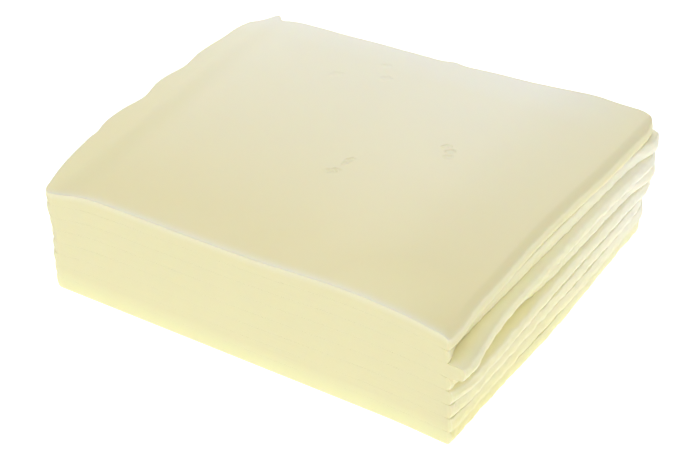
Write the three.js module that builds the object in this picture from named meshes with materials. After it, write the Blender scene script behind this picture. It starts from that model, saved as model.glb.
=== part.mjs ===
// A stack of eight cheese slices, pressed flush on its long front side and
// slightly fanned at its right-hand end. Millimetres, +Z up.
// X runs along the stack, -Y is the flush front side and +X the fanned end.
// The origin is at the middle of the underside.
import * as THREE from 'three';

// Driving sizes of the whole stack
const frontLength = 92;
const depth = 78;
const pitch = 3.275;
const airGap = 0.3;
const arris = 0.45;

const halfLength = frontLength / 2;
const halfDepth = depth / 2;

// How the pressed height changes over the stack, as parts of the full height.
// The swell fades to a share of itself at the back side.
const swell = { x: 24, wide: 16, part: 0.05, backShare: 0.5 };
const leftPinch = { x: -halfLength, wide: 7, part: -0.085 };
const cornerPinch = { x: halfLength, wide: 6, part: -0.035 };
const backDroop = { wide: 14, part: -0.02 };

// The left-hand end bulges from corner to corner, highest a little before the middle
const leftBulge = { out: 4.1, y: -9, before: 30, behind: 48 };

// Width of the strip along the right-hand edges that rolls down
const rollWide = 2.2;

// The front corner of the sixth slice sticks out and lifts a little
const lip = { from: 45.8, run: 3, wide: 5, lift: 0.35 };

// The lowest slices swell out a little at the front corner of the fanned end
const foot = { wide: 8, out: 0.6, slices: 4 };

// Each slice from the bottom up. Edge amounts are outward and in millimetres.
// near and far are the right-hand edge's at the front and back corners, and
// right holds the waves of that edge. left is the left-hand edge's amount and
// wave holds its waves. A wave is [place, width, out], from the front side.
// back holds the waves of the back side, with their places along X. roll is
// how far the right-hand edge rolls down.
const slices = [
  {
    near: 0, far: 0.6,
    right: [[40, 20, 0.8]],
    left: 0.6,
    wave: [[30, 6, 0.4]],
    back: [[-20, 9, 0.5]],
    roll: 0.2,
  },
  {
    near: 0.6, far: 1.1,
    right: [[0, 4, -0.4], [50, 14, 0.5]],
    left: 0.6,
    wave: [[58, 5, -0.6]],
    back: [[12, 8, -0.5]],
    roll: 0.3,
  },
  {
    near: 0.9, far: 1.7,
    right: [[0, 4, -0.8], [78, 6, -1]],
    left: 0.6,
    wave: [[22, 4, -0.5]],
    back: [[-8, 7, 0.6]],
    roll: 0.4,
  },
  {
    near: 1.6, far: 1.8,
    right: [[0, 4, -1.4], [42, 20, -0.4], [78, 5, 0.6]],
    left: 0.3,
    wave: [[44, 7, 0.5]],
    back: [[28, 6, -0.6]],
    roll: 0.5,
  },
  {
    near: -0.3, far: 1.4,
    right: [[8, 4, 1.7], [21, 10, -1.7], [78, 6, 2]],
    left: 0.15,
    wave: [[64, 6, -0.7]],
    back: [[-31, 6, 0.5]],
    roll: 0.4,
  },
  {
    near: 0.85, far: 1.9,
    right: [[2, 10, 2.05], [78, 14, 1.1]],
    left: 0.3,
    wave: [[34, 5, -0.6]],
    back: [[4, 9, -0.7]],
    roll: 0.8,
  },
  {
    near: -1.7, far: 1.4,
    right: [[0, 2.5, 1.3], [78, 6, 2.3]],
    left: 0.7,
    wave: [[16, 6, 0.5]],
    back: [[-14, 6, -0.6]],
    roll: 0.3,
  },
  {
    near: -0.4, far: 1.8,
    right: [[4, 4, 0.5], [36, 18, -0.9]],
    left: 0.5,
    wave: [
      [9, 6, 0.3], [22, 2, -0.4], [26, 5, 0.2],
      [37, 4.2, -1.2], [50.5, 4.1, -0.9], [71, 4.8, 0.5],
    ],
    back: [[-42.2, 1.7, 2.6], [-26, 9, -0.5], [2, 2, 0.6], [20, 6, -0.5], [33, 4, 0.5]],
    roll: 0.9,
  },
];
const topSlice = slices.length;
const lipSlice = 6;

// Corner radii in plan, with the torn back left-hand corner of the top slice
const frontLeftRadius = 1.8;
const frontRightRadius = 0.8;
const backCornerRadius = 5;
const tornRadius = 3.8;

// The back side runs out towards the fanned end, most on the top slice,
// and is a little hollow along its middle
const backSlant = 3.2;
const backHollow = 1.5;

// Edge shifts start this part of the way out from the middle of a slice
const shiftStart = 0.4;

// Rows and columns of each sheet, most on the top slice and fewest low down
const topGrid = { columns: 18, rows: 28 };
const fineGrid = { columns: 10, rows: 20 };
const plainGrid = { columns: 8, rows: 14 };
const plainSlices = 3;

const cheese = { color: 0xece5c0, roughness: 0.55, metalness: 0 };

function hump(at, place, wide) {
  return Math.exp(-(((at - place) / wide) ** 2));
}

function ease(value) {
  const part = Math.min(1, Math.max(0, value));
  return part * part * (3 - 2 * part);
}

function waves(list, at) {
  return list.reduce((sum, [place, wide, out]) => sum + out * hump(at, place, wide), 0);
}

// Outward shift of the right-hand edge at a distance v from the front side
function rightOut(slice, v) {
  const slope = slice.near + ((slice.far - slice.near) * v) / depth;
  return slope + waves(slice.right, v);
}

// Outward shift of the front side
function frontOut(number, x) {
  const share = Math.max(0, 1 - (number - 1) / foot.slices);
  return share * foot.out * hump(x, halfLength, foot.wide);
}

// Outward shift of the back side
function backOut(number, x, slice) {
  const share = (1 + number / topSlice) / 2;
  const part = x / halfLength;
  return share * (backSlant * part - backHollow * (1 - Math.abs(part))) + waves(slice.back, x);
}

// Outward shift of the left-hand edge
function leftOut(slice, y) {
  const off = y - leftBulge.y;
  const reach = off < 0 ? leftBulge.before : leftBulge.behind;
  const bulge = leftBulge.out * Math.max(0, 1 - (off / reach) ** 2);
  return slice.left + bulge + waves(slice.wave, y + halfDepth);
}

// Pressed height at a place, as a part of the full height
function heightPart(x, y) {
  const front = hump(y, -halfDepth, cornerPinch.wide);
  const fade = 1 - (1 - swell.backShare) * (y + halfDepth) / depth;
  const back = hump(y, halfDepth, backDroop.wide) * hump(x, -halfLength, backDroop.wide);
  return 1
    + swell.part * hump(x, swell.x, swell.wide) * fade
    + leftPinch.part * hump(Math.max(x, leftPinch.x), leftPinch.x, leftPinch.wide)
    + cornerPinch.part * hump(x, cornerPinch.x, cornerPinch.wide) * front
    + backDroop.part * back;
}

// How far the sixth slice's front corner lifts
function lipLift(number, x, y) {
  if (number !== lipSlice) {
    return 0;
  }
  return lip.lift * ease((x - lip.from) / lip.run) * hump(y, -halfDepth, lip.wide);
}

// How far the right-hand edge of a slice rolls down
function rollDrop(x, y, slice) {
  const edge = halfLength + rightOut(slice, y + halfDepth) - arris;
  const part = Math.max(0, 1 - (edge - x) / rollWide);
  return slice.roll * part * part;
}

// Heights of a slice's upper and lower faces
function upper(number, x, y, slice) {
  const level = number * pitch * heightPart(x, y) - airGap;
  return level + lipLift(number, x, y) - rollDrop(x, y, slice);
}

function lower(number, x, y) {
  return (number - 1) * pitch * heightPart(x, y) + lipLift(number, x, y);
}

// Edge shifts fade out towards the middle of the slice
function edgeShare(part) {
  const fade = Math.max(0, (Math.abs(part) - shiftStart) / (1 - shiftStart));
  return fade * fade;
}

function radiusAt(number, sideX, sideY) {
  if (sideY < 0) {
    return sideX < 0 ? frontLeftRadius : frontRightRadius;
  }
  return number === topSlice && sideX < 0 ? tornRadius : backCornerRadius;
}

// Plan position of a point of the sheet, with u and w from -1 to 1
function plan(number, slice, u, w) {
  const sideX = u < 0 ? -1 : 1;
  const sideY = w < 0 ? -1 : 1;
  const radius = radiusAt(number, sideX, sideY);
  let x = Math.abs(u) * halfLength;
  let y = Math.abs(w) * halfDepth;
  const a = (x - halfLength + radius) / radius;
  const b = (y - halfDepth + radius) / radius;
  if (a > 0 && b > 0) {
    x += radius * a * (Math.sqrt(1 - b * b / 2) - 1);
    y += radius * b * (Math.sqrt(1 - a * a / 2) - 1);
  }
  const outX = sideX > 0 ? rightOut(slice, sideY * y + halfDepth) : leftOut(slice, sideY * y);
  const outY = sideY > 0 ? backOut(number, sideX * x, slice) : frontOut(number, sideX * x);
  return [sideX * (x + outX * edgeShare(u)), sideY * (y + outY * edgeShare(w))];
}

// One slice as a closed solid: two sheets joined by a wall with bevelled edges
function sheetGeometry(number, slice, grid) {
  const { columns, rows } = grid;
  const insetX = 1 - arris / halfLength;
  const insetY = 1 - arris / halfDepth;
  const positions = [];
  const index = [];
  const spread = (step, steps) => Math.sin((Math.PI / 2) * ((2 * step) / steps - 1));
  const add = (x, y, z) => positions.push(x, y, z) / 3 - 1;

  const top = [];
  const bottom = [];
  const rimHigh = new Map();
  const rimLow = new Map();
  for (let j = 0; j <= rows; j += 1) {
    for (let i = 0; i <= columns; i += 1) {
      const u = spread(i, columns);
      const w = spread(j, rows);
      const [x, y] = plan(number, slice, u * insetX, w * insetY);
      const spot = j * (columns + 1) + i;
      const onEdge = i === 0 || j === 0 || i === columns || j === rows;
      top[spot] = add(x, y, upper(number, x, y, slice));
      if (onEdge || number > 1) {
        bottom[spot] = add(x, y, lower(number, x, y));
      }
      if (onEdge) {
        const [ex, ey] = plan(number, slice, u, w);
        rimHigh.set(spot, add(ex, ey, upper(number, x, y, slice) - arris));
        rimLow.set(spot, add(ex, ey, lower(number, x, y) + arris));
      }
    }
  }

  const quad = (a, b, c, d) => index.push(a, b, c, a, c, d);
  for (let j = 0; j < rows; j += 1) {
    for (let i = 0; i < columns; i += 1) {
      const a = j * (columns + 1) + i;
      const b = a + 1;
      const c = b + columns + 1;
      const d = a + columns + 1;
      quad(top[a], top[b], top[c], top[d]);
      if (number > 1) {
        quad(bottom[a], bottom[d], bottom[c], bottom[b]);
      }
    }
  }

  const loop = borderLoop(columns, rows);
  if (number === 1) {
    const middle = add(0, 0, 0);
    loop.forEach((spot, n) => {
      index.push(middle, bottom[loop[(n + 1) % loop.length]], bottom[spot]);
    });
  }
  loop.forEach((spot, n) => {
    const next = loop[(n + 1) % loop.length];
    quad(rimHigh.get(spot), rimHigh.get(next), top[next], top[spot]);
    quad(rimLow.get(spot), rimLow.get(next), rimHigh.get(next), rimHigh.get(spot));
    quad(bottom[spot], bottom[next], rimLow.get(next), rimLow.get(spot));
  });

  const geometry = new THREE.BufferGeometry();
  geometry.setAttribute('position', new THREE.Float32BufferAttribute(positions, 3));
  geometry.setIndex(index);
  geometry.computeVertexNormals();
  return geometry;
}

function gridOf(number) {
  if (number === topSlice) {
    return topGrid;
  }
  return number <= plainSlices ? plainGrid : fineGrid;
}

// The grid's border spots in order, anticlockwise from above
function borderLoop(columns, rows) {
  const spots = [];
  const row = columns + 1;
  for (let i = 0; i < columns; i += 1) spots.push(i);
  for (let j = 0; j < rows; j += 1) spots.push(j * row + columns);
  for (let i = columns; i > 0; i -= 1) spots.push(rows * row + i);
  for (let j = rows; j > 0; j -= 1) spots.push(j * row);
  return spots;
}

const group = new THREE.Group();
group.name = 'cheese_stack';
slices.forEach((slice, place) => {
  const number = place + 1;
  const grid = gridOf(number);
  const material = new THREE.MeshStandardMaterial(cheese);
  const mesh = new THREE.Mesh(sheetGeometry(number, slice, grid), material);
  mesh.name = `slice_${number}`;
  group.add(mesh);
});

export default group;
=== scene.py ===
# A stack of eight cheese slices, flush in front and fanned at its right-hand end,
# on a plain pale floor. Metres, +Z up, -Y is the flush front side.
# Each finished slice replaces the imported one: the same edges and heights, with
# rounded edges, painted edge highlights, fine relief and a cheese finish.
import bpy
import math
from mathutils import Matrix, Vector


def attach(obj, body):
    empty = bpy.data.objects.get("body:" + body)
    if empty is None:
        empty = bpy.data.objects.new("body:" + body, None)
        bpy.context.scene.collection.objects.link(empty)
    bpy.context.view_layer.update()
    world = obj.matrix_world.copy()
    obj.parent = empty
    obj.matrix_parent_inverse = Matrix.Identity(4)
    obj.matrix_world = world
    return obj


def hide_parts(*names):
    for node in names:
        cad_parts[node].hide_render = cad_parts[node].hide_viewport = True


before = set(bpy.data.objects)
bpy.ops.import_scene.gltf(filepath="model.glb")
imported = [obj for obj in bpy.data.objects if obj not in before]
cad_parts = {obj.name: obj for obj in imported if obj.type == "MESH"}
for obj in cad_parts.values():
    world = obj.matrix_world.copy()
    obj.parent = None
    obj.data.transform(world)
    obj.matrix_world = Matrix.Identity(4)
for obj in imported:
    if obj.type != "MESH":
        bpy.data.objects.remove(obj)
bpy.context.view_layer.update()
mm = 0.001

# The view of the photograph, worked out from the stack's own corners
cameraSetup = {
    "azimuth": 33.55,  # degrees, 0 looks along +Y
    "elevation": 37.25,
    "roll": -2.0,
    "distance": 457.24 * mm,
    "aimRight": -0.67 * mm,  # how far the view is moved off the stack's middle
    "aimUp": 4.2 * mm,
    "imageWidth": 699,
    "focalPixels": 2230.1,
    "sensorWidth": 36,
    "clipStart": 0.01,
    "clipEnd": 20,
}


def makeCamera(setup):
    around = math.radians(setup["azimuth"])
    above = math.radians(setup["elevation"])
    outward = Vector((math.sin(around), -math.cos(around), 0))
    back = outward * math.cos(above) + Vector((0, 0, math.sin(above)))
    level = Vector((math.cos(around), math.sin(around), 0))
    turn = Matrix.Rotation(math.radians(setup["roll"]), 3, back)
    right = turn @ level
    up = turn @ back.cross(level)
    data = bpy.data.cameras.new("photoCamera")
    data.sensor_width = setup["sensorWidth"]
    data.lens = setup["sensorWidth"] * setup["focalPixels"] / setup["imageWidth"]
    data.clip_start = setup["clipStart"]
    data.clip_end = setup["clipEnd"]
    camera = bpy.data.objects.new("photoCamera", data)
    bpy.context.collection.objects.link(camera)
    axes = Matrix((right, up, back)).transposed().to_4x4()
    place = back * setup["distance"] + right * setup["aimRight"] + up * setup["aimUp"]
    camera.matrix_world = Matrix.Translation(place) @ axes
    bpy.context.scene.camera = camera


makeCamera(cameraSetup)
print("camera placed")


# Node trees are written as sums: a Wire is one value on its way through a tree

class Wire:
    def __init__(self, tree, socket):
        self.tree = tree
        self.socket = socket

    def maths(self, operation, *others):
        node = self.tree.nodes.new("ShaderNodeMath")
        node.operation = operation
        for socket, value in zip(node.inputs, (self,) + others):
            feed(self.tree, value, socket)
        return Wire(self.tree, node.outputs[0])

    def __add__(self, other):
        return self.maths("ADD", other)

    def __sub__(self, other):
        return self.maths("SUBTRACT", other)

    def __mul__(self, other):
        return self.maths("MULTIPLY", other)

    def __truediv__(self, other):
        return self.maths("DIVIDE", other)

    def power(self, exponent):
        return self.maths("POWER", exponent)

    def over(self, limit):  # 1 past the limit, 0 before it
        return self.maths("GREATER_THAN", limit)

    def least(self, limit):
        return self.maths("MAXIMUM", limit)

    def most(self, limit):
        return self.maths("MINIMUM", limit)

    def size(self):
        return self.maths("ABSOLUTE")

    def sign(self):
        return self.maths("SIGN")

    def root(self):
        return self.maths("SQRT")

    def rest(self):  # what is left of 1
        return self * -1 + 1

    def towards(self, other, share):  # self at share 0, other at share 1
        return self * share.rest() + share * other

    def ramp(self, start, run):  # 0 at the start and 1 a run further on
        return ((self - start) / run).least(0).most(1)


def feed(tree, value, socket):
    if isinstance(value, Wire):
        tree.links.new(value.socket, socket)
    else:
        socket.default_value = value


def addNode(tree, kind, inputs=None, **settings):
    node = tree.nodes.new(kind)
    for name, value in settings.items():
        setattr(node, name, value)
    for name, value in (inputs or {}).items():
        feed(tree, value, node.inputs[name])
    return node


def split(tree, vector):
    node = addNode(tree, "ShaderNodeSeparateXYZ", {"Vector": vector})
    return [Wire(tree, socket) for socket in node.outputs]


def combine(tree, x, y, z):
    node = addNode(tree, "ShaderNodeCombineXYZ", {"X": x, "Y": y, "Z": z})
    return Wire(tree, node.outputs[0])


def addSockets(tree, inputs, outputs):
    for direction, sockets in (("INPUT", inputs), ("OUTPUT", outputs)):
        for name, kind in sockets:
            tree.interface.new_socket(name=name, in_out=direction, socket_type="NodeSocket" + kind)


def layOut(tree, rows=12, columnWidth=220, rowHeight=190):  # so that the tree opens tidily
    for place, node in enumerate(tree.nodes):
        node.location = ((place // rows) * columnWidth, -(place % rows) * rowHeight)


# The stack's form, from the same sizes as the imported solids. A swell, pinch, droop
# or wave is one smooth hump, given as its place, its width and its size.
stackForm = {
    "length": 92 * mm,
    "depth": 78 * mm,
    "pitch": 3.275 * mm,
    "topGap": 0.3 * mm,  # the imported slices' air gap, kept under each top face
    "seam": 0.002 * mm,  # gap that shows between two finished slices
    "swell": (24 * mm, 16 * mm, 0.05),  # the size is a part of the height
    "swellAtBack": 0.5,
    "leftPinch": (-46 * mm, 7 * mm, -0.085),
    "cornerPinch": (46 * mm, 6 * mm, -0.035),
    "backDroop": (39 * mm, 14 * mm, -0.02),
    "leftBulge": 4.1 * mm,
    "bulgeAt": -9 * mm,
    "bulgeBefore": 30 * mm,
    "bulgeBehind": 48 * mm,
    "backSlant": 3.2 * mm,
    "backHollow": 1.5 * mm,
    "frontLeftRadius": 1.8 * mm,
    "frontRightRadius": 0.8 * mm,
    "backCornerRadius": 5 * mm,
    "shiftStart": 0.4,  # edge shifts begin this part of the way out
    "footWidth": 8 * mm,
    "footStep": 0.15 * mm,  # how much less the foot stands out on each next slice
}

# What sets one slice apart, in millimetres and from the bottom up. near and far
# say how far the right-hand edge stands out at the front and back corners, and
# left does so for the left edge. right, wave and back hold the waves of the
# right, left and back edges. roll is how far the right-hand edge rolls down, lift
# how far the near corner is raised, and foot how far it stands out in front.
# edge and crumbs are shares of the common edge radius and crumbs. tornRadius is the
# back left corner's radius, and frontEdge the upper front edge's, where they differ.
slices = [
    {"near": 0, "far": 0.6, "right": [(40, 20, 0.8)], "left": 0.6, "wave": [(30, 6, 0.4)],
     "back": [(-20, 9, 0.5)], "roll": 0.2, "edge": 0.3, "foot": 0.6},
    {"near": 0.6, "far": 1.1, "right": [(0, 4, -0.4), (50, 14, 0.5)], "left": 0.6,
     "wave": [(58, 5, -0.6)], "back": [(12, 8, -0.5)], "roll": 0.3, "edge": 0.4, "foot": 0.45},
    {"near": 0.9, "far": 1.7, "right": [(0, 4, -0.8), (78, 6, -1)], "left": 0.6,
     "wave": [(22, 4, -0.5)], "back": [(-8, 7, 0.6)], "roll": 0.4, "edge": 0.6, "foot": 0.3},
    {"near": 1.6, "far": 1.8, "right": [(0, 4, -1.4), (42, 20, -0.4), (78, 5, 0.6)], "left": 0.3,
     "wave": [(44, 7, 0.5)], "back": [(28, 6, -0.6)], "roll": 0.5, "foot": 0.15},
    {"near": -0.3, "far": 1.4, "right": [(8, 4, 1.7), (21, 10, -1.7), (78, 6, 2)], "left": 0.15,
     "wave": [(64, 6, -0.7)], "back": [(-31, 6, 0.5)], "roll": 0.4},
    {"near": 0.85, "far": 1.9, "right": [(2, 10, 2.05), (78, 14, 1.1)], "left": 0.3,
     "wave": [(34, 5, -0.6)], "back": [(4, 9, -0.7)], "roll": 0.8, "lift": 0.35},
    {"near": -1.7, "far": 1.4, "right": [(0, 2.5, 1.3), (78, 6, 2.3)], "left": 0.7,
     "wave": [(16, 6, 0.5)], "back": [(-14, 6, -0.6)], "roll": 0.3},
    {"near": -0.4, "far": 1.8, "right": [(4, 4, 0.5), (36, 18, -0.9)], "left": 0.5,
     "wave": [(9, 6, 0.3), (22, 2, -0.4), (26, 5, 0.2), (37, 4.2, -1.2), (50.5, 4.1, -0.9),
              (71, 4.8, 0.5)],
     "back": [(-42.2, 1.7, 2.6), (-26, 9, -0.5), (2, 2, 0.6), (20, 6, -0.5), (33, 4, 0.5)],
     "roll": 0.9, "crumbs": 0.3, "tornRadius": 3.8, "frontEdge": 0.15},
]

# Fine finish of the edges and faces
sliceFinish = {
    "columns": 111,
    "rows": 151,
    "layers": 15,
    "topColumns": 171,
    "crowding": 0.9,  # how far the grid lines crowd towards the edges, from 0 to 1
    "sideEdge": 0.4 * mm,  # radius of the upper edges at the ends and back
    "underEdge": 0.45 * mm,
    "frontEdge": 0.002 * mm,  # the flush front is pressed nearly shut
    "creaseAngle": 60,  # degrees, edges that fold more than this stay crisp
    "wallBelly": 0.18 * mm,  # how far a cut edge swells between its two rims
    "rag": 0.16 * mm,  # unevenness of the cut edges
    "ragSize": 7 * mm,
    "ragStep": 20 * mm,  # moves the pattern on from slice to slice
    "seed": 0.37,
    "endRag": 0.4 * mm,  # torn crumbs along the fanned end
    "endRagSize": 2.2 * mm,
    "endRagStep": 9 * mm,
    "endRagHeight": 1.2 * mm,  # how much the crumbs change from rim to rim
    "endRagLimit": 0.2,  # crumbs stand out less than the hollows between them go in
    "relief": 0.05 * mm,  # press marks on the faces
    "reliefSize": 15 * mm,
    "reliefStep": 30 * mm,
    "rollWidth": 2.2 * mm,
    "lipFrom": 45.8 * mm,  # the sixth slice's raised corner
    "lipRun": 3 * mm,
    "lipWidth": 5 * mm,
    "highlightSize": 0.15 * mm,  # edges rounder than this show their whole painted highlight
    "frontHighlightWide": 2.7 * mm,
    "frontWallFade": 0.5,  # how much less of the front painted highlight shows down the wall
    "sideHighlight": 0.3,  # how strong the painted highlight is on the other edges beside the front one
    "gapLightFrom": 36 * mm,  # painted light: faces at the fanned end that the next slice leaves uncovered, lightened in its shade
    "gapLightRun": 4 * mm,
}
onWall = 0.9999  # grid lines further out than this lie on a side wall
speck = 0.001 * mm  # keeps a division clear of zero


def makeHumpTree():  # size * exp(-((at - place) / wide) ^ 2) for a wave (place, wide, size)
    tree = bpy.data.node_groups.new("hump", "GeometryNodeTree")
    addSockets(tree, [("At", "Float"), ("Wave", "Vector")], [("Out", "Float")])
    source = addNode(tree, "NodeGroupInput")
    place, wide, size = split(tree, Wire(tree, source.outputs["Wave"]))
    off = (Wire(tree, source.outputs["At"]) - place) / wide
    fall = (off * off * -1).maths("EXPONENT")
    addNode(tree, "NodeGroupOutput", {"Out": fall * size})
    layOut(tree)
    return tree


humpTree = makeHumpTree()


def hump(at, wave):
    node = addNode(at.tree, "GeometryNodeGroup", {"At": at, "Wave": wave}, node_tree=humpTree)
    return Wire(at.tree, node.outputs["Out"])


def noise(tree, vector, size, detail=2.0, roughness=0.5):  # from -1 to 1, size in metres
    scale = size.power(-1.0) if isinstance(size, Wire) else 1 / size
    scaled = addNode(tree, "ShaderNodeVectorMath", {0: vector, "Scale": scale}, operation="SCALE")
    node = addNode(tree, "ShaderNodeTexNoise", {
        "Vector": Wire(tree, scaled.outputs[0]), "Scale": 1.0, "Detail": detail,
        "Roughness": roughness})
    value = [socket for socket in node.outputs if socket.type == "VALUE"][0]
    return (Wire(tree, value) - 0.5) * 2


rightWaves = [f"Right Wave {place}" for place in (1, 2, 3)]
leftWaves = [f"Left Wave {place}" for place in (1, 2, 3, 4, 5, 6)]
backWaves = [f"Back Wave {place}" for place in (1, 2, 3, 4, 5)]
sliceSizes = [
    "Number", "Length", "Depth", "Pitch", "Near", "Far", "Left", "Foot", "Lift", "Roll",
    "Back Left Radius", "Upper Front Edge", "Side Edge", "Under Edge", "Front Edge",
    "Wall Belly", "Rag", "Crumbs", "Relief", "Seed",
]


def layGrid(tree, given, crowd):  # a box of grid lines from -1 to 1 each way
    box = addNode(tree, "GeometryNodeMeshCube", {
        "Size": (2, 2, 2), "Vertices X": given["Columns"], "Vertices Y": given["Rows"],
        "Vertices Z": given["Layers"]})
    position = addNode(tree, "GeometryNodeInputPosition")
    across, along, level = split(tree, Wire(tree, position.outputs[0]))
    u = across * (1 - crowd) + (across * (math.pi / 2)).maths("SINE") * crowd
    w = along * (1 - crowd) + (along * (math.pi / 2)).maths("SINE") * crowd
    return Wire(tree, box.outputs["Mesh"]), u, w, (level * (math.pi / 2)).maths("SINE")


def roundCorners(u, w, given, form):  # distances from the middle, with corners round in plan
    atRight = u.over(0)
    frontGrowth = form["frontRightRadius"] - form["frontLeftRadius"]
    frontRadius = atRight * frontGrowth + form["frontLeftRadius"]
    backRadius = given["Back Left Radius"].towards(form["backCornerRadius"], atRight)
    radius = frontRadius.towards(backRadius, w.over(0))
    x = u.size() * given["Half Length"]
    y = w.size() * given["Half Depth"]
    a = ((x - given["Half Length"] + radius) / radius).least(0)
    b = ((y - given["Half Depth"] + radius) / radius).least(0)
    x = x + radius * a * ((b * b * -0.5 + 1).root() - 1)
    y = y + radius * b * ((a * a * -0.5 + 1).root() - 1)
    return x, y


def shiftEdges(x, y, level, given, form):  # how far each of the four edges stands out here
    along = y + given["Half Depth"]
    rightOut = given["Near"].towards(given["Far"], along / given["Depth"])
    off = y - form["bulgeAt"]
    reach = off.over(0) * (form["bulgeBehind"] - form["bulgeBefore"]) + form["bulgeBefore"]
    leftOut = given["Left"] + (off / reach).power(2.0).rest().least(0) * form["leftBulge"]
    part = x / given["Half Length"]
    slant = part * form["backSlant"] - part.size().rest() * form["backHollow"]
    backOut = (given["Number"] / (2 * len(slices)) + 0.5) * slant
    for name in rightWaves:
        rightOut = rightOut + hump(along, given[name])
    for name in leftWaves:
        leftOut = leftOut + hump(along, given[name])
    for name in backWaves:
        backOut = backOut + hump(x, given[name])
    footHere = (given["Foot"] - (level + 1) * (form["footStep"] / 2)).least(0)
    frontOut = hump(x, (form["length"] / 2, form["footWidth"], 1)) * footHere
    return rightOut, leftOut, frontOut, backOut


def roughenEdges(tree, x, y, reachX, reachY, level, given, finish):  # unevenness and crumbs
    spot = combine(tree, x, y, given["Number"] * finish["ragStep"] + given["Seed"])
    rag = noise(tree, spot, finish["ragSize"], detail=3.0, roughness=0.6) * given["Rag"]
    endLevel = level * finish["endRagHeight"] + given["Number"] * finish["endRagStep"]
    torn = noise(tree, combine(tree, reachX, reachY, endLevel), finish["endRagSize"], roughness=0.6)
    return rag, torn.most(finish["endRagLimit"]) * finish["endRag"] * given["Crumbs"]


def pressedHeight(x, y, given, form):  # how high the stack is here, as a share of its plain height
    fade = (y + given["Half Depth"]) / given["Depth"] * (form["swellAtBack"] - 1) + 1
    swell = hump(x, form["swell"]) * fade
    pinch = hump(x.least(form["leftPinch"][0]), form["leftPinch"])
    atFront = hump(y, (-form["depth"] / 2, form["cornerPinch"][1], 1))
    corner = hump(x, form["cornerPinch"]) * atFront
    atLeft = hump(x, (-form["length"] / 2, form["backDroop"][1], 1))
    droop = hump(y, form["backDroop"]) * atLeft
    return swell + 1 + pinch + corner + droop


def faceHeights(tree, x, y, rightOut, given, form, finish):  # of the upper and lower face
    height = pressedHeight(x, y, given, form)
    lip = x.ramp(finish["lipFrom"], finish["lipRun"])
    lipEase = lip * lip * (lip * -2 + 3)
    lift = given["Lift"] * lipEase * hump(y, (-form["depth"] / 2, finish["lipWidth"], 1))
    rollPart = ((given["Half Length"] + rightOut - x) / finish["rollWidth"]).rest().least(0)
    rollDrop = given["Roll"] * rollPart * rollPart
    below = given["Number"] - 1
    marks = combine(tree, x, y, given["Number"] * finish["reliefStep"])
    marksBelow = combine(tree, x, y, below * finish["reliefStep"])
    relief = noise(tree, marks, finish["reliefSize"]) * given["Relief"]
    reliefBelow = noise(tree, marksBelow, finish["reliefSize"]) * given["Relief"]
    upper = given["Number"] * given["Pitch"] * height - form["topGap"] + lift - rollDrop + relief
    lower = below * given["Pitch"] * height - (form["topGap"] - form["seam"]) + lift + reliefBelow
    return upper, lower.least(0)


def edgeRounding(u, w, level, given):  # distance in from the edge, nearness to the front, radius
    inX = u.size().rest() * given["Half Length"]
    inY = w.size().rest() * given["Half Depth"]
    nearFront = w.over(0).rest() * inX / (inX + inY + speck)
    isUpper = level.over(0)
    sideRound = given["Under Edge"].towards(given["Side Edge"], isUpper)
    frontRound = given["Front Edge"].towards(given["Upper Front Edge"], isUpper)
    return inX.most(inY), nearFront, sideRound.towards(frontRound, nearFront)


# How much of a cut edge, a painted edge highlight and painted gap light each point has, for the finish
def finishMarks(u, w, level, inside, nearFront, rounding, given, finish):
    frontWall = (w * -1).over(onWall)
    cut = (inside / (rounding * 2)).rest().least(0)
    frontHighlight = (inside / finish["frontHighlightWide"]).rest().least(0).power(2.0)
    frontHighlight = frontHighlight * level.size() * (frontWall * -finish["frontWallFade"] + 1)
    sideHighlight = cut * level.size().power(3.0) * finish["sideHighlight"]
    edgeHighlight = sideHighlight.towards(frontHighlight, nearFront) * (rounding / finish["highlightSize"]).most(1)
    # Where painted gap light goes: the fanned end's faces that lie under another slice
    covered = (given["Number"] * -1 + len(slices)).over(0)
    gapLight = (u.size() * given["Half Length"]).ramp(finish["gapLightFrom"], finish["gapLightRun"])
    gapLight = gapLight * u.over(0) * covered * frontWall.rest()
    return {"cut": cut, "edgeHighlight": edgeHighlight, "gapLight": gapLight}


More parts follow.
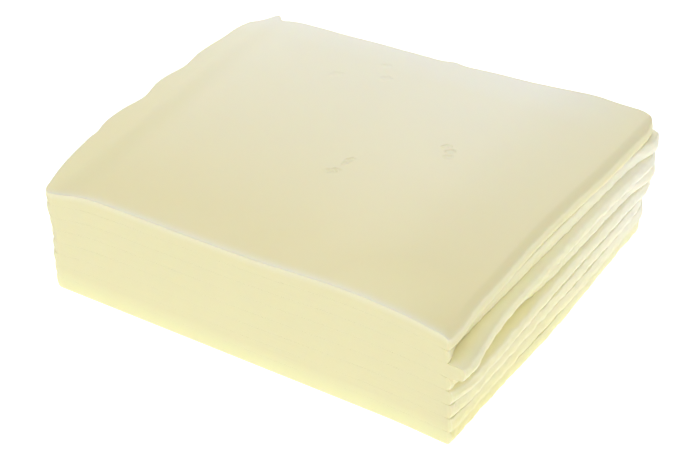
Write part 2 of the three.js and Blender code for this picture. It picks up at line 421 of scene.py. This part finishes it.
def makeSliceTree(form, finish):
    tree = bpy.data.node_groups.new("cheeseSlice", "GeometryNodeTree")
    sockets = [(name, "Float") for name in sliceSizes]
    sockets += [(name, "Vector") for name in rightWaves + leftWaves + backWaves]
    sockets += [(name, "Int") for name in ("Columns", "Rows", "Layers")]
    sockets += [("Material", "Material")]
    addSockets(tree, sockets, [("Geometry", "Geometry")])
    source = addNode(tree, "NodeGroupInput")
    given = {name: Wire(tree, source.outputs[name]) for name, kind in sockets}
    given["Half Length"] = given["Length"] / 2
    given["Half Depth"] = given["Depth"] / 2

    # Where each grid line lies in plan
    box, u, w, level = layGrid(tree, given, finish["crowding"])
    reachX, reachY = roundCorners(u, w, given, form)
    x = u.sign() * reachX
    y = w.sign() * reachY
    rightOut, leftOut, frontOut, backOut = shiftEdges(x, y, level, given, form)
    rag, crumbs = roughenEdges(tree, x, y, reachX, reachY, level, given, finish)
    outX = leftOut.towards(rightOut + crumbs, u.over(0)) + rag
    outY = frontOut.towards(backOut + rag, w.over(0))
    start = form["shiftStart"]
    shareX = ((u.size() - start) / (1 - start)).least(0).power(2.0)
    shareY = ((w.size() - start) / (1 - start)).least(0).power(2.0)

    # A cut edge swells a little between its rims, but not on the pressed front
    belly = (level * level).rest() * given["Wall Belly"]
    x = u.sign() * (reachX + outX * shareX + belly * u.size().over(onWall))
    y = w.sign() * (reachY + outY * shareY + belly * w.over(onWall))

    # Height between the two faces, with the edges rounded off
    upper, lower = faceHeights(tree, x, y, rightOut, given, form, finish)
    inside, nearFront, rounding = edgeRounding(u, w, level, given)
    short = (rounding - inside).least(0)
    drop = rounding - (rounding * rounding - short * short).least(0).root()
    z = (upper + lower) / 2 + level * ((upper - lower) / 2 - drop)

    # The marks are stored while the box is still a plain grid, and then it takes its shape
    marks = finishMarks(u, w, level, inside, nearFront, rounding, given, finish)
    shape = box
    for name, value in marks.items():
        store = addNode(tree, "GeometryNodeStoreNamedAttribute",
                        {"Geometry": shape, "Name": name, "Value": value},
                        data_type="FLOAT", domain="POINT")
        shape = Wire(tree, store.outputs[0])
    moved = addNode(tree, "GeometryNodeSetPosition", {
        "Geometry": shape, "Position": combine(tree, x, y, z)})
    angle = Wire(tree, addNode(tree, "GeometryNodeInputMeshEdgeAngle").outputs["Unsigned Angle"])
    creased = addNode(tree, "GeometryNodeStoreNamedAttribute", {
        "Geometry": Wire(tree, moved.outputs[0]), "Name": "sharp_edge",
        "Value": angle.over(math.radians(finish["creaseAngle"]))},
        data_type="BOOLEAN", domain="EDGE")
    smooth = addNode(tree, "GeometryNodeSetShadeSmooth", {"Geometry": Wire(tree, creased.outputs[0])})
    real = addNode(tree, "GeometryNodeRealizeInstances", {"Geometry": Wire(tree, smooth.outputs[0])})
    painted = addNode(tree, "GeometryNodeSetMaterial", {
        "Geometry": Wire(tree, real.outputs[0]), "Material": given["Material"]})
    addNode(tree, "NodeGroupOutput", {"Geometry": Wire(tree, painted.outputs[0])})
    layOut(tree)
    return tree


def growPiece(name, tree, values):  # runs a tree with these values and keeps a plain mesh
    piece = bpy.data.objects.new(name, bpy.data.meshes.new(name))
    bpy.context.collection.objects.link(piece)
    modifier = piece.modifiers.new("grow", "NODES")
    modifier.node_group = tree
    for item in tree.interface.items_tree:
        if item.in_out == "INPUT" and item.name in values:
            modifier[item.identifier] = values[item.name]
    graph = bpy.context.evaluated_depsgraph_get()
    mesh = bpy.data.meshes.new_from_object(piece.evaluated_get(graph))
    piece.modifiers.clear()
    spare = piece.data
    piece.data = mesh
    bpy.data.meshes.remove(spare)
    mesh.name = name
    return piece


def sliceValues(number, own, form, finish, material):
    top = number == len(slices)
    values = {
        "Number": float(number), "Length": form["length"], "Depth": form["depth"],
        "Pitch": form["pitch"], "Near": own["near"] * mm, "Far": own["far"] * mm,
        "Left": own["left"] * mm, "Foot": own.get("foot", 0) * mm,
        "Lift": own.get("lift", 0) * mm, "Roll": own["roll"] * mm,
        "Back Left Radius": own.get("tornRadius", form["backCornerRadius"] / mm) * mm,
        "Upper Front Edge": own.get("frontEdge", finish["frontEdge"] / mm) * mm,
        "Side Edge": finish["sideEdge"] * own.get("edge", 1),
        "Under Edge": finish["underEdge"] * own.get("edge", 1),
        "Front Edge": finish["frontEdge"], "Wall Belly": finish["wallBelly"],
        "Rag": finish["rag"], "Crumbs": own.get("crumbs", 1.0), "Relief": finish["relief"],
        "Seed": finish["seed"], "Columns": finish["topColumns"] if top else finish["columns"],
        "Rows": finish["rows"], "Layers": finish["layers"], "Material": material,
    }
    flat = (0, 1, 0)  # a wave of no size
    for names, waves in ((rightWaves, own["right"]), (leftWaves, own["wave"]), (backWaves, own["back"])):
        for place, name in enumerate(names):
            wave = waves[place] if place < len(waves) else flat
            values[name] = tuple(size * mm for size in wave)
    return values


# The cheese finish
cheeseFinish = {
    "face": (0.93, 0.843, 0.502),
    "faceShade": (0.92, 0.826, 0.463),
    "wall": (0.895, 0.838, 0.505),  # the cut sides are a little greener
    "sheenFace": (0.95, 0.91, 0.725),  # painted sheen: paler towards the back, where the back light's reflection falls
    "sheenFrom": -30 * mm,
    "sheenRun": 66 * mm,
    "sheenCloud": 0.2,  # how far the clouds shift that border
    "sheenFadeFrom": 22 * mm,  # but less of the painted sheen towards the fanned end
    "sheenFadeRun": 43 * mm,
    "slope": (0.985, 0.893, 0.53),  # painted light: paler on the pressed slopes at the left and at the near corner, which tilt and would shade darker
    "slopeShare": 0.7,
    "slopeFrom": -34 * mm,
    "slopeRun": 8 * mm,
    "cornerSlopeLight": (33 * mm, -39 * mm, 15 * mm),  # place and reach
    "backEdgeSheen": (0.98, 0.955, 0.84),  # painted sheen: palest along the back
    "backFrom": 29 * mm,
    "backRun": 13 * mm,
    "foot": (1.0, 0.97, 0.56),  # painted glow of the floor's light, paler and yellower on the lowest slice
    "floorGlowHeight": 5 * mm,
    "gapLight": (1.0, 0.945, 0.61),  # painted light: faces that the next slice above leaves uncovered, lightened against the shade in the gaps
    "gapLightFade": 0.55,  # how much less of it goes on a cut edge at the near end
    "farGapLight": (0.98, 0.945, 0.75),
    "farGapLightFrom": -10 * mm,
    "farGapLightRun": 40 * mm,
    "endFootShadeGlow": (0.95, 0.88, 0.43),  # painted shade and floor glow: the lowest slices are yellower at the near end
    "endFrom": 43 * mm,
    "endSide": -38.8 * mm,
    "endHeight": 9 * mm,
    "endTo": 16.5 * mm,  # and less so on the way back to here
    "endReach": 55 * mm,
    # Painted highlight along the edges, strongest along the upper front edge
    "edgeHighlight": (0.99, 0.945, 0.75),
    "cloudSize": 16 * mm,
    "grainSize": 1.1 * mm,
    "grainShade": 0.15,
    "roughness": 0.43,
    "cloudRoughness": 0.08,
    "grainRoughness": 0.04,
    "ior": 1.44,
    "translucency": 0.3,
    "glow": (1.0, 0.72, 0.3),
    "glowDepth": 0.3 * mm,
    "grainDepth": 0.012 * mm,
    "dragDepth": 0.03 * mm,
    "dragLength": 12 * mm,
    "dragSpacing": 0.5 * mm,
    "nickAbove": 22 * mm,
    "nickDepth": 0.22 * mm,
    "nickRag": 1.2,
    "nickRagSize": 1.1 * mm,
    "nicks": [  # place, turn in degrees, half length and half width in mm, share of the depth
        {"at": (0.9, -7.4), "turn": 34, "long": 1.8, "wide": 0.8, "deep": 0.9},
        {"at": (1.8, -3.2), "turn": 72, "long": 1.9, "wide": 0.8, "deep": 0.8},
        {"at": (16.4, 10.1), "turn": 30, "long": 1.2, "wide": 0.8, "deep": 0.7},
        {"at": (17.9, 8.8), "turn": 30, "long": 1.4, "wide": 0.8, "deep": 0.8},
        {"at": (18.5, 6.9), "turn": 30, "long": 1.1, "wide": 0.7, "deep": 0.6},
        {"at": (-17, 22), "turn": 34, "long": 1.8, "wide": 1.0, "deep": 0.35},
        {"at": (-9.8, 29.8), "turn": 34, "long": 1.4, "wide": 1.0, "deep": 0.35},
        {"at": (-7.2, 25.6), "turn": 34, "long": 1.4, "wide": 1.0, "deep": 0.35},
    ],
}


def makeCloudGroup():  # soft pale and dark clouds, with a finer grain over them
    tree = bpy.data.node_groups.new("cheeseClouds", "ShaderNodeTree")
    addSockets(tree, [("Vector", "Vector"), ("Cloud Size", "Float"), ("Grain Size", "Float")],
               [("Shade", "Float"), ("Grain", "Float")])
    source = addNode(tree, "NodeGroupInput")
    vector = Wire(tree, source.outputs["Vector"])
    clouds = noise(tree, vector, Wire(tree, source.outputs["Cloud Size"]), detail=3.0, roughness=0.55)
    grain = noise(tree, vector, Wire(tree, source.outputs["Grain Size"]), detail=4.0, roughness=0.6)
    addNode(tree, "NodeGroupOutput", {"Shade": (clouds + 1) / 2, "Grain": grain})
    layOut(tree)
    return tree


def makeDragGroup():  # long level streaks that a blade leaves in a cut edge
    tree = bpy.data.node_groups.new("bladeDrag", "ShaderNodeTree")
    addSockets(tree, [("Vector", "Vector"), ("Length", "Float"), ("Spacing", "Float")],
               [("Height", "Float")])
    source = addNode(tree, "NodeGroupInput")
    x, y, z = split(tree, Wire(tree, source.outputs["Vector"]))
    length = Wire(tree, source.outputs["Length"])
    streaks = combine(tree, x, y, z * (length / Wire(tree, source.outputs["Spacing"])))
    height = noise(tree, streaks, length, detail=3.0, roughness=0.6)
    addNode(tree, "NodeGroupOutput", {"Height": height})
    layOut(tree)
    return tree


def makeNickGroup(rag, ragSize):  # one ragged little dent in a face, as a depth from 0 to 1
    tree = bpy.data.node_groups.new("nick", "ShaderNodeTree")
    addSockets(tree, [("Vector", "Vector"), ("Place", "Vector"), ("Turn", "Float"),
                      ("Half Length", "Float"), ("Half Width", "Float")], [("Depth", "Float")])
    source = addNode(tree, "NodeGroupInput")
    vector = Wire(tree, source.outputs["Vector"])
    away = addNode(tree, "ShaderNodeVectorMath", {0: vector, 1: Wire(tree, source.outputs["Place"])},
                   operation="SUBTRACT")
    x, y = split(tree, Wire(tree, away.outputs[0]))[:2]
    cosine = Wire(tree, source.outputs["Turn"]).maths("COSINE")
    sine = Wire(tree, source.outputs["Turn"]).maths("SINE")
    along = (x * cosine + y * sine) / Wire(tree, source.outputs["Half Length"])
    across = (y * cosine - x * sine) / Wire(tree, source.outputs["Half Width"])
    depth = (along * along + across * across + noise(tree, vector, ragSize) * rag).rest()
    addNode(tree, "NodeGroupOutput", {"Depth": depth.least(0).most(1)})
    layOut(tree)
    return tree


cloudGroup = makeCloudGroup()
dragGroup = makeDragGroup()
nickGroup = makeNickGroup(cheeseFinish["nickRag"], cheeseFinish["nickRagSize"])


def addNicks(tree, spot, nicks):  # the depth of all nicks at a spot
    total = 0
    for nick in nicks:
        node = addNode(tree, "ShaderNodeGroup", {
            "Vector": spot, "Place": (nick["at"][0] * mm, nick["at"][1] * mm, 0),
            "Turn": math.radians(nick["turn"]), "Half Length": nick["long"] * mm,
            "Half Width": nick["wide"] * mm}, node_tree=nickGroup)
        total = Wire(tree, node.outputs["Depth"]) * nick["deep"] + total
    return total


def readMark(tree, name):
    return Wire(tree, addNode(tree, "ShaderNodeAttribute", attribute_name=name).outputs["Fac"])


def mixColours(tree, share, first, second):
    node = addNode(tree, "ShaderNodeMix", data_type="RGBA")
    feed(tree, share, node.inputs[0])
    for value, socket in ((first, node.inputs[6]), (second, node.inputs[7])):
        feed(tree, value if isinstance(value, Wire) else (*value, 1), socket)
    return Wire(tree, node.outputs[2])


def faceColour(tree, x, y, shade, grain, values):
    blend = shade + grain * values["grainShade"]
    colour = mixColours(tree, blend, values["face"], values["faceShade"])
    # Painted sheen: the top turns paler towards the back, in place of the back light's reflection
    sheenFade = x.ramp(values["sheenFadeFrom"], values["sheenFadeRun"])
    border = (y - values["sheenFrom"]) / values["sheenRun"]
    paintedSheen = (border + (shade - 0.5) * values["sheenCloud"]).least(0).most(1)
    colour = mixColours(tree, paintedSheen * sheenFade.rest(), colour, values["sheenFace"])

    # Painted light on the pressed slopes, against the shade their tilt gives them
    leftSlopeLight = x.ramp(values["slopeFrom"], -values["slopeRun"]) * paintedSheen.rest()
    cornerX, cornerY, cornerReach = values["cornerSlopeLight"]
    awayX = (x - cornerX) / cornerReach
    awayY = (y - cornerY) / cornerReach
    cornerSlopeLight = (awayX * awayX + awayY * awayY).rest()
    slope = leftSlopeLight.least(cornerSlopeLight) * values["slopeShare"]
    colour = mixColours(tree, slope, colour, values["slope"])

    # Painted sheen along the back edge
    atBack = y.ramp(values["backFrom"], values["backRun"])
    atBack = atBack * x.ramp(values["sheenFadeFrom"], values["sheenFadeRun"] / 2).rest()
    return mixColours(tree, atBack, colour, values["backEdgeSheen"])


def cheeseColour(tree, place, cut, shade, grain, values):  # faces, cut sides, painted floor glow at the foot, painted gap light and shade at the end, painted edge highlights
    x, y, z = place
    colour = faceColour(tree, x, y, shade, grain, values)
    colour = mixColours(tree, cut, colour, values["wall"])
    # Painted glow of the floor's light on the lowest few millimetres
    foot = (z / values["floorGlowHeight"]).rest().least(0)
    colour = mixColours(tree, foot, colour, values["foot"])

    # Painted light in the gaps at the fanned end, paler towards the far corner
    far = y.ramp(values["farGapLightFrom"], values["farGapLightRun"])
    gapLightColour = mixColours(tree, far, values["gapLight"], values["farGapLight"])
    gapLightShare = readMark(tree, "gapLight") * foot.rest() * (cut * far.rest() * -values["gapLightFade"] + 1)
    colour = mixColours(tree, gapLightShare, colour, gapLightColour)

    # Painted shade and floor glow on the lowest slices at the near end
    atEnd = x.over(values["endFrom"]) * y.over(values["endSide"])
    atEnd = atEnd * (z / values["endHeight"]).rest().least(0)
    atEnd = atEnd * y.ramp(values["endTo"], -values["endReach"])
    colour = mixColours(tree, atEnd * cut, colour, values["endFootShadeGlow"])
    # Painted highlight on the edges
    return mixColours(tree, readMark(tree, "edgeHighlight"), colour, values["edgeHighlight"])


def makeCheese(name, values):
    material = bpy.data.materials.new(name)
    material.use_nodes = True
    tree = material.node_tree
    tree.nodes.clear()
    spot = Wire(tree, addNode(tree, "ShaderNodeTexCoord").outputs["Object"])
    place = split(tree, spot)
    cut = readMark(tree, "cut")
    clouds = addNode(tree, "ShaderNodeGroup", {
        "Vector": spot, "Cloud Size": values["cloudSize"], "Grain Size": values["grainSize"]},
        node_tree=cloudGroup)
    drag = addNode(tree, "ShaderNodeGroup", {
        "Vector": spot, "Length": values["dragLength"], "Spacing": values["dragSpacing"]},
        node_tree=dragGroup)
    shade = Wire(tree, clouds.outputs["Shade"])
    grain = Wire(tree, clouds.outputs["Grain"])
    streaks = Wire(tree, drag.outputs["Height"])

    colour = cheeseColour(tree, place, cut, shade, grain, values)
    rough = shade * values["cloudRoughness"] + grain * values["grainRoughness"] + values["roughness"]
    nicks = addNicks(tree, spot, values["nicks"]) * place[2].over(values["nickAbove"])
    relief = grain * values["grainDepth"] + streaks * cut * values["dragDepth"]
    relief = relief - nicks * values["nickDepth"]
    bump = addNode(tree, "ShaderNodeBump", {"Strength": 1.0, "Distance": 1.0, "Height": relief})
    shader = addNode(tree, "ShaderNodeBsdfPrincipled", {
        "Base Color": colour, "Roughness": rough, "IOR": values["ior"],
        "Subsurface Weight": values["translucency"], "Subsurface Radius": values["glow"],
        "Subsurface Scale": values["glowDepth"], "Normal": Wire(tree, bump.outputs[0])})
    output = addNode(tree, "ShaderNodeOutputMaterial")
    tree.links.new(shader.outputs[0], output.inputs["Surface"])
    layOut(tree)
    return material


cheese = makeCheese("cheese", cheeseFinish)
sliceTree = makeSliceTree(stackForm, sliceFinish)
print("slice tree and cheese finish built")

for place, own in enumerate(slices):
    number = place + 1
    values = sliceValues(number, own, stackForm, sliceFinish, cheese)
    piece = growPiece(f"cheeseSlice{number}", sliceTree, values)
    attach(piece, "root")
    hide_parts(f"slice_{number}")
    print(piece.name, len(piece.data.polygons), "faces")


# Floor and light
studio = {
    "floorSize": 3.0,
    "floorColour": (0.92, 0.92, 0.91),
    "floorRoughness": 0.8,
    "floorLight": (1.0, 1.0, 1.0),  # the floor glows a little, so that it comes out white
    "floorGlow": 0.62,
    "sky": (1.0, 1.0, 1.0),
    "skyStrength": 0.3,
    "softboxes": {  # place and edge in metres, brightness of the face
        "backSoftbox": {"place": (-0.28, 0.42, 0.28), "edge": 0.36, "bright": 2.8},
        "frontSoftbox": {"place": (-0.3, -0.6, 0.64), "edge": 0.3, "bright": 3.5},
        "topSoftbox": {"place": (0.2, -0.16, 0.66), "edge": 0.5, "bright": 1.8},
        "sideSoftbox": {"place": (0.62, -0.1, 0.22), "edge": 0.4, "bright": 0.7},
    },
}


def makeFloor(values):
    half = values["floorSize"] / 2
    corners = [(-half, -half, 0), (half, -half, 0), (half, half, 0), (-half, half, 0)]
    mesh = bpy.data.meshes.new("floor")
    mesh.from_pydata(corners, [], [(0, 1, 2, 3)])
    floor = bpy.data.objects.new("floor", mesh)
    bpy.context.collection.objects.link(floor)
    material = bpy.data.materials.new("paleFloor")
    material.use_nodes = True
    shader = material.node_tree.nodes["Principled BSDF"]
    shader.inputs["Base Color"].default_value = (*values["floorColour"], 1)
    shader.inputs["Roughness"].default_value = values["floorRoughness"]
    shader.inputs["Emission Color"].default_value = (*values["floorLight"], 1)
    shader.inputs["Emission Strength"].default_value = values["floorGlow"]
    mesh.materials.append(material)


def makeSoftbox(name, values):
    data = bpy.data.lights.new(name, "AREA")
    data.size = values["edge"]
    data.energy = values["bright"] * math.pi * values["edge"] ** 2  # watts for that brightness
    light = bpy.data.objects.new(name, data)
    bpy.context.collection.objects.link(light)
    place = Vector(values["place"])
    light.matrix_world = Matrix.Translation(place) @ place.to_track_quat("Z", "Y").to_matrix().to_4x4()
    light.visible_camera = False


def makeSky(values):
    world = bpy.data.worlds.new("studioSky")
    world.use_nodes = True
    background = world.node_tree.nodes["Background"]
    background.inputs["Color"].default_value = (*values["sky"], 1)
    background.inputs["Strength"].default_value = values["skyStrength"]
    bpy.context.scene.world = world


makeFloor(studio)
makeSky(studio)
for name, values in studio["softboxes"].items():
    makeSoftbox(name, values)
bpy.context.scene.view_settings.view_transform = "Standard"
print("floor and lights placed")
